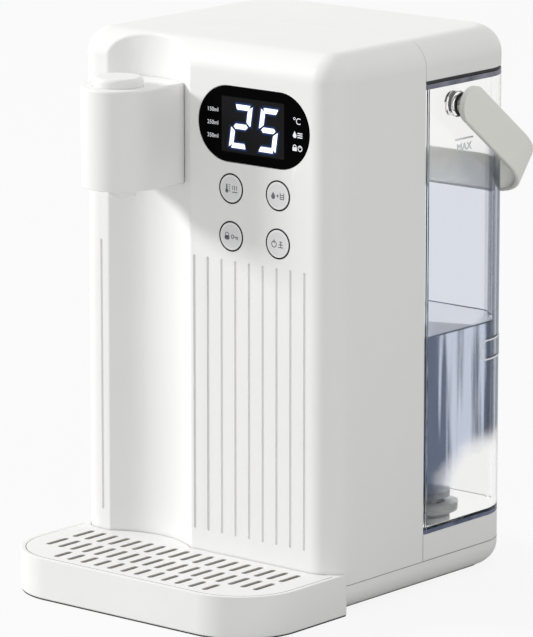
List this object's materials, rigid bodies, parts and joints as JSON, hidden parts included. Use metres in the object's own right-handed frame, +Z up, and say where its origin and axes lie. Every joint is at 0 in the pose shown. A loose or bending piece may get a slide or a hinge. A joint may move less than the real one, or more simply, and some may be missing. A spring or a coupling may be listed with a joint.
{
  "type": "hot water dispenser",
  "caption": "Countertop hot water dispenser: white cabinet with spout head and display, clear lift-off rear tank with lid and bail handle, drip tray in front.",
  "frame": {"origin": "centre of the bounding box at floor level", "axes": "+Z up, -Y the front with the spout and display, +X to the right seen from the front"},
  "size_m": [0.2002, 0.2483, 0.3],
  "materials": {
    "white_shell": "fine satin moulding",
    "key_cap": "satin",
    "handle_grey": "matt warm grey",
    "clear_tank": "clear, polished",
    "display_black": "high gloss",
    "display_led": "matt",
    "dark_rubber": "matt",
    "silicone": "satin",
    "inner_plastic": "satin",
    "black_plastic": "satin",
    "circuit_board": "solder mask",
    "steel": "brushed"
  },
  "bodies": {
    "cabinet": {"front_housing": "white_shell", "rear_wall": "white_shell", "base_pan": "white_shell", "tank_seat": "white_shell", "spout_head": "white_shell", "spout_floor": "white_shell", "spout_chassis": "inner_plastic", "nozzle": "white_shell", "outlet_chamber": "inner_plastic", "dispense_switch": "black_plastic", "dispense_spring": "steel", "display_window": "display_black", "display_module": "display_led", "control_board": "circuit_board", "tact_switches": "black_plastic", "docking_socket": "inner_plastic", "socket_seal": "silicone", "pump_volute": "inner_plastic", "pump_motor": "steel", "pump_cradle": "dark_rubber", "heater_tube": "steel", "heater_element": "steel", "heater_caps": "inner_plastic", "heater_clamps": "steel", "thermal_cutouts": "black_plastic", "temperature_probe": "steel", "inlet_hose": "silicone", "pump_hose": "silicone", "outlet_hose": "silicone", "power_board": "circuit_board", "power_parts": "black_plastic", "base_feet": "dark_rubber", "case_screws": "steel", "cord_gland": "dark_rubber"},
    "tray": {"drip_tray": "white_shell", "tray_feet": "dark_rubber"},
    "grille": {"drip_grille": "white_shell"},
    "tank": {"tank": "clear_tank", "pivot_washers": "dark_rubber", "valve_collar": "inner_plastic", "valve_spring": "steel"},
    "valve": {"valve_plunger": "inner_plastic", "valve_seal": "silicone"},
    "lid": {"lid_cover": "white_shell", "lid_liner": "white_shell", "lid_gasket": "dark_rubber"},
    "handle": {"tank_handle": "handle_grey"},
    "impeller": {"pump_impeller": "inner_plastic"},
    "dispense_button": {"dispense_button": "white_shell"},
    "button_top_left": {"button_top_left": "key_cap"},
    "button_top_right": {"button_top_right": "key_cap"},
    "button_bottom_left": {"button_bottom_left": "key_cap"},
    "button_bottom_right": {"button_bottom_right": "key_cap"}
  },
  "joints": [
    {"name": "tray_slide", "type": "slide", "parent": "cabinet", "child": "tray", "axis": [0, -1, 0], "range_m": [0, 0.12]},
    {"name": "grille_lift", "type": "slide", "parent": "tray", "child": "grille", "axis": [0, 0, 1], "range_m": [0, 0.08]},
    {"name": "tank_lift", "type": "slide", "parent": "cabinet", "child": "tank", "axis": [0, 0, 1], "range_m": [0, 0.28]},
    {"name": "lid_lift", "type": "slide", "parent": "tank", "child": "lid", "axis": [0, 0, 1], "range_m": [0, 0.12]},
    {"name": "handle_swing", "type": "hinge", "parent": "tank", "child": "handle", "pos_m": [0, 0.05234, 0.2625], "axis": [1, 0, 0], "range_deg": [0, 126]},
    {"name": "valve_stroke", "type": "slide", "parent": "tank", "child": "valve", "axis": [0, 0, 1], "range_m": [-0.003, 0], "deforming": ["valve_spring"]},
    {"name": "dispense_press", "type": "slide", "parent": "cabinet", "child": "dispense_button", "axis": [0, 0, -1], "range_m": [0, 0.003], "stiffness_N_per_m": 800, "springref_m": -0.001, "deforming": ["dispense_spring"]},
    {"name": "impeller_spin", "type": "hinge", "parent": "cabinet", "child": "impeller", "pos_m": [0.051, 0.00284, 0.021], "axis": [0, 1, 0], "continuous": true},
    {"name": "button_top_left_press", "type": "slide", "parent": "cabinet", "child": "button_top_left", "axis": [0, 1, 0], "range_m": [0, 0.0008], "stiffness_N_per_m": 1500, "springref_m": -0.0002},
    {"name": "button_top_right_press", "type": "slide", "parent": "cabinet", "child": "button_top_right", "axis": [0, 1, 0], "range_m": [0, 0.0008], "stiffness_N_per_m": 1500, "springref_m": -0.0002},
    {"name": "button_bottom_left_press", "type": "slide", "parent": "cabinet", "child": "button_bottom_left", "axis": [0, 1, 0], "range_m": [0, 0.0008], "stiffness_N_per_m": 1500, "springref_m": -0.0002},
    {"name": "button_bottom_right_press", "type": "slide", "parent": "cabinet", "child": "button_bottom_right", "axis": [0, 1, 0], "range_m": [0, 0.0008], "stiffness_N_per_m": 1500, "springref_m": -0.0002}
  ],
  "couplings": [
    {"joint": "valve_stroke", "follows": "tank_lift", "ratio": -0.0107}
  ]
}
